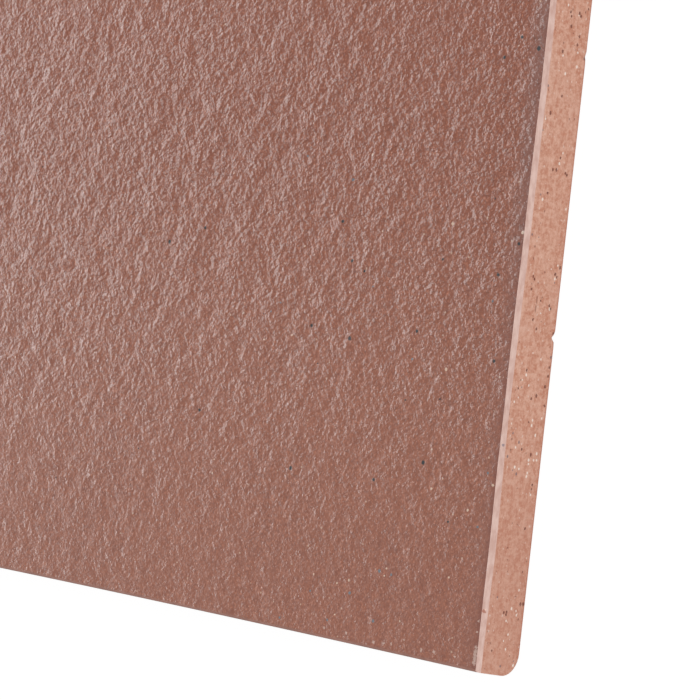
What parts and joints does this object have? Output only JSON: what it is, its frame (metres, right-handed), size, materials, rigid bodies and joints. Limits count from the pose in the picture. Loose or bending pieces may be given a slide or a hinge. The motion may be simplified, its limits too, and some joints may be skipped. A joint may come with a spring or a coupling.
{
  "type": "quarry tile",
  "caption": "Square unglazed quarry tile of fired red clay with a rough wear face, bevelled cut ends and die-formed edges rounded into a flat back.",
  "frame": {"origin": "middle of the flat back, on the floor", "axes": "+Z out of the wear face, X from cut end to cut end, Y from one die-formed edge to the other"},
  "size_m": [0.2, 0.2, 0.012],
  "materials": {
    "fired_clay": "unglazed, rough satin"
  },
  "bodies": {
    "root": {"quarry_tile": "fired_clay"}
  },
  "joints": []
}
